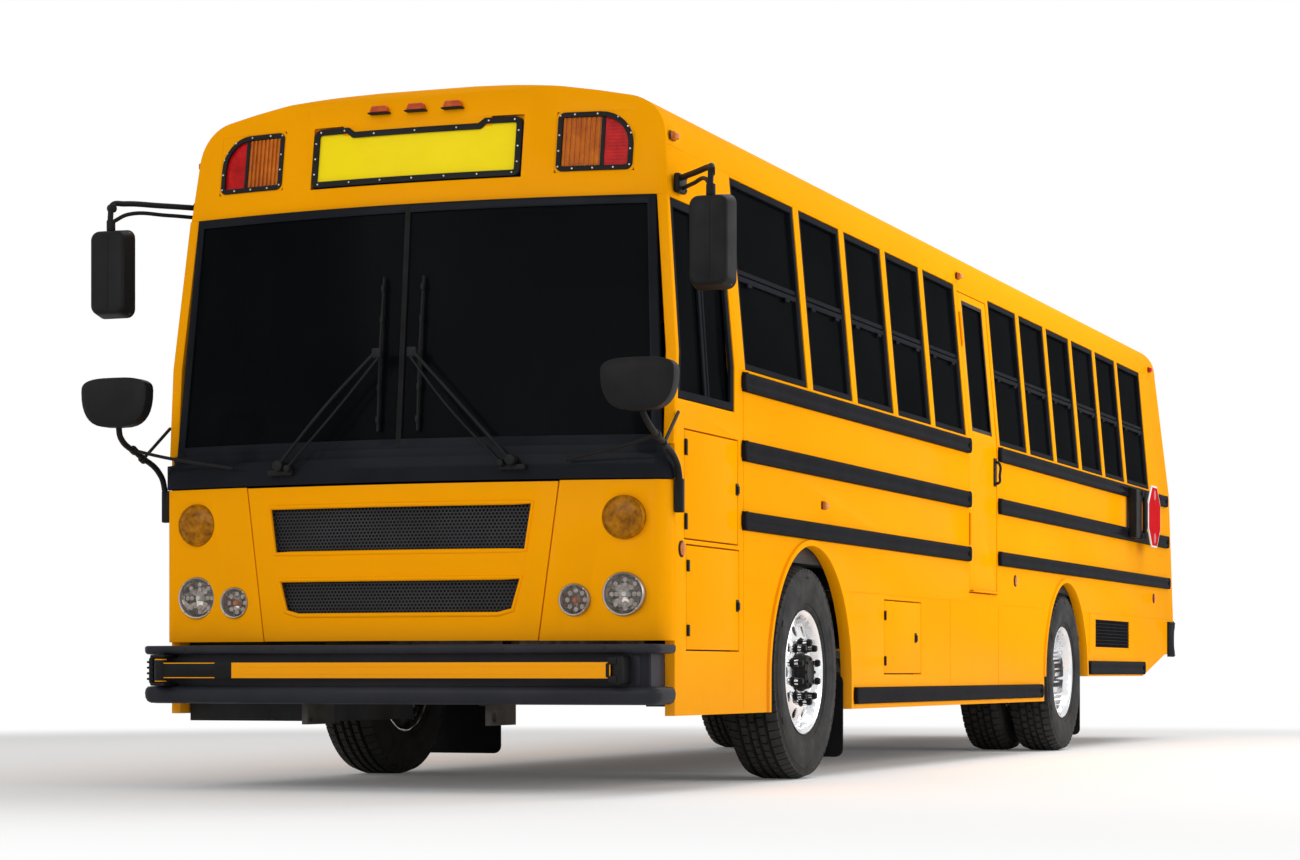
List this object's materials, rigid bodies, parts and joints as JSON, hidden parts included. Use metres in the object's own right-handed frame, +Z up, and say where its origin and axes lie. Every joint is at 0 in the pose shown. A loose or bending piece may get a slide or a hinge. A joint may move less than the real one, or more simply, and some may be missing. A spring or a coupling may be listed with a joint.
{
  "type": "school bus",
  "caption": "Flat-fronted yellow school bus with folding stop and crossing arms, opening doors and hatches, steered front wheels and twin rear wheels.",
  "frame": {"origin": "on the ground below the middle of the whole bus", "axes": "+X to the left side of the bus, +Y to its rear, +Z up"},
  "size_m": [3.074, 12.015, 3.137],
  "materials": {
    "body_yellow": "glossy school-bus yellow paint",
    "black_paint": "satin black paint",
    "chassis_black": "matt black chassis paint",
    "cast_iron": "rough casting",
    "steel": "bare steel",
    "aluminium": "polished",
    "tyre": "black rubber",
    "rubber": "black rubber",
    "dark_glass": "tinted glass",
    "floor_rubber": "ribbed rubber sheet",
    "seat_vinyl": "dark vinyl",
    "plastic_black": "textured plastic",
    "lamp_lens": "clear and coloured lenses",
    "sign_yellow": "reflective sheet",
    "stop_red": "reflective sheet",
    "hatch_white": "moulded plastic"
  },
  "bodies": {
    "body": {"chassis_frame": "chassis_black", "front_axle": "chassis_black", "rear_axle": "chassis_black", "engine_block": "cast_iron", "fuel_tank": "chassis_black", "exhaust_pipe": "steel", "floor": "floor_rubber", "left_side_wall": "body_yellow", "right_side_wall": "body_yellow", "roof": "body_yellow", "front_cap": "body_yellow", "rear_wall": "body_yellow", "front_corner_panels": "body_yellow", "cowl": "black_paint", "windshield_glass": "dark_glass", "window_glass": "dark_glass", "window_sashes": "black_paint", "rub_rails": "black_paint", "front_bumper": "black_paint", "rear_bumper": "black_paint", "mud_flaps": "rubber", "seats": "seat_vinyl", "dashboard": "plastic_black", "mirrors": "black_paint", "wipers": "black_paint", "lamps": "lamp_lens", "sign_boards": "sign_yellow", "stop_arm_bracket": "black_paint"},
    "left_knuckle": {"left_knuckle": "cast_iron"},
    "right_knuckle": {"right_knuckle": "cast_iron"},
    "tie_rod": {"tie_rod": "chassis_black"},
    "front_left_wheel": {"front_left_tyre": "tyre", "front_left_rim": "aluminium"},
    "front_right_wheel": {"front_right_tyre": "tyre", "front_right_rim": "aluminium"},
    "rear_left_wheels": {"rear_left_tyres": "tyre", "rear_left_rims": "aluminium"},
    "rear_right_wheels": {"rear_right_tyres": "tyre", "rear_right_rims": "aluminium"},
    "entry_door_front": {"entry_door_front_leaf": "black_paint", "entry_door_front_glass": "dark_glass"},
    "entry_door_rear": {"entry_door_rear_leaf": "black_paint", "entry_door_rear_glass": "dark_glass"},
    "left_emergency_door": {"left_emergency_door": "body_yellow", "left_emergency_door_glass": "dark_glass"},
    "rear_emergency_door": {"rear_emergency_door": "body_yellow", "rear_emergency_door_glass": "dark_glass"},
    "grille_door": {"grille_door": "body_yellow", "grille_mesh": "black_paint"},
    "stop_arm": {"stop_arm": "stop_red"},
    "crossing_arm": {"crossing_arm": "body_yellow"},
    "steering_wheel": {"steering_wheel": "plastic_black"},
    "upper_access_door": {"upper_access_door": "body_yellow"},
    "lower_access_door": {"lower_access_door": "body_yellow"},
    "battery_door": {"battery_door": "body_yellow"},
    "front_roof_hatch": {"front_roof_hatch": "hatch_white"},
    "rear_roof_hatch": {"rear_roof_hatch": "hatch_white"}
  },
  "joints": [
    {"name": "steer_left", "type": "hinge", "parent": "body", "child": "left_knuckle", "pos_m": [0.955, -3.595, 0.52], "axis": [0, 0, 1], "range_deg": [-36, 36]},
    {"name": "steer_right", "type": "hinge", "parent": "body", "child": "right_knuckle", "pos_m": [-0.955, -3.595, 0.52], "axis": [0, 0, 1], "range_deg": [-36, 36]},
    {"name": "tie_rod_pin", "type": "hinge", "parent": "left_knuckle", "child": "tie_rod", "pos_m": [0.955, -3.445, 0.402], "axis": [0, 0, 1], "range_deg": [-36, 36]},
    {"name": "steering_wheel_turn", "type": "hinge", "parent": "body", "child": "steering_wheel", "pos_m": [0.785, -4.78, 1.805], "axis": [0, 0.5736, 0.8192], "range_deg": [-432, 432]},
    {"name": "front_left_wheel_spin", "type": "hinge", "parent": "left_knuckle", "child": "front_left_wheel", "pos_m": [1.07, -3.595, 0.52], "axis": [1, 0, 0], "continuous": true},
    {"name": "front_right_wheel_spin", "type": "hinge", "parent": "right_knuckle", "child": "front_right_wheel", "pos_m": [-1.07, -3.595, 0.52], "axis": [1, 0, 0], "continuous": true},
    {"name": "rear_left_wheels_spin", "type": "hinge", "parent": "body", "child": "rear_left_wheels", "pos_m": [1.08, 2.04, 0.52], "axis": [1, 0, 0], "continuous": true},
    {"name": "rear_right_wheels_spin", "type": "hinge", "parent": "body", "child": "rear_right_wheels", "pos_m": [-1.08, 2.04, 0.52], "axis": [1, 0, 0], "continuous": true},
    {"name": "entry_door_front_hinge", "type": "hinge", "parent": "body", "child": "entry_door_front", "pos_m": [-1.217, -5.385, 0.35], "axis": [0.0247, 0, 0.9997], "range_deg": [0, 90]},
    {"name": "entry_door_rear_hinge", "type": "hinge", "parent": "body", "child": "entry_door_rear", "pos_m": [-1.217, -4.645, 0.35], "axis": [0.0247, 0, 0.9997], "range_deg": [-90, 0]},
    {"name": "left_emergency_door_hinge", "type": "hinge", "parent": "body", "child": "left_emergency_door", "pos_m": [1.229, -0.514, 1.85], "axis": [0, 0, -1], "range_deg": [0, 100]},
    {"name": "rear_emergency_door_hinge", "type": "hinge", "parent": "body", "child": "rear_emergency_door", "pos_m": [-0.454, 5.8548, 1.04], "axis": [0, -0.1772, 0.9842], "range_deg": [0, 100]},
    {"name": "grille_door_hinge", "type": "hinge", "parent": "body", "child": "grille_door", "pos_m": [0, -5.74, 1.341], "axis": [-1, 0, 0], "range_deg": [0, 70]},
    {"name": "stop_arm_hinge", "type": "hinge", "parent": "body", "child": "stop_arm", "pos_m": [1.315, 4.25, 1.672], "axis": [0, 0, -1], "range_deg": [0, 90]},
    {"name": "crossing_arm_hinge", "type": "hinge", "parent": "body", "child": "crossing_arm", "pos_m": [-1.105, -5.817, 0.528], "axis": [0, 0, -1], "range_deg": [0, 90]},
    {"name": "upper_access_door_hinge", "type": "hinge", "parent": "body", "child": "upper_access_door", "pos_m": [1.229, -5.399, 1.33], "axis": [0, 0, -1], "range_deg": [0, 100]},
    {"name": "lower_access_door_hinge", "type": "hinge", "parent": "body", "child": "lower_access_door", "pos_m": [1.229, -5.374, 0.84], "axis": [0, 0, -1], "range_deg": [0, 100]},
    {"name": "battery_door_hinge", "type": "hinge", "parent": "body", "child": "battery_door", "pos_m": [1.229, -2.304, 0.7], "axis": [0, 0, -1], "range_deg": [0, 100]},
    {"name": "front_roof_hatch_hinge", "type": "hinge", "parent": "body", "child": "front_roof_hatch", "pos_m": [0, -2.564, 3.137], "axis": [1, 0, 0], "range_deg": [0, 60]},
    {"name": "rear_roof_hatch_hinge", "type": "hinge", "parent": "body", "child": "rear_roof_hatch", "pos_m": [0, 2.436, 3.137], "axis": [1, 0, 0], "range_deg": [0, 60]}
  ],
  "couplings": [
    {"joint": "steer_right", "follows": "steer_left", "ratio": 1},
    {"joint": "tie_rod_pin", "follows": "steer_left", "ratio": -1},
    {"joint": "steering_wheel_turn", "follows": "steer_left", "ratio": 12},
    {"joint": "entry_door_rear_hinge", "follows": "entry_door_front_hinge", "ratio": -1}
  ]
}
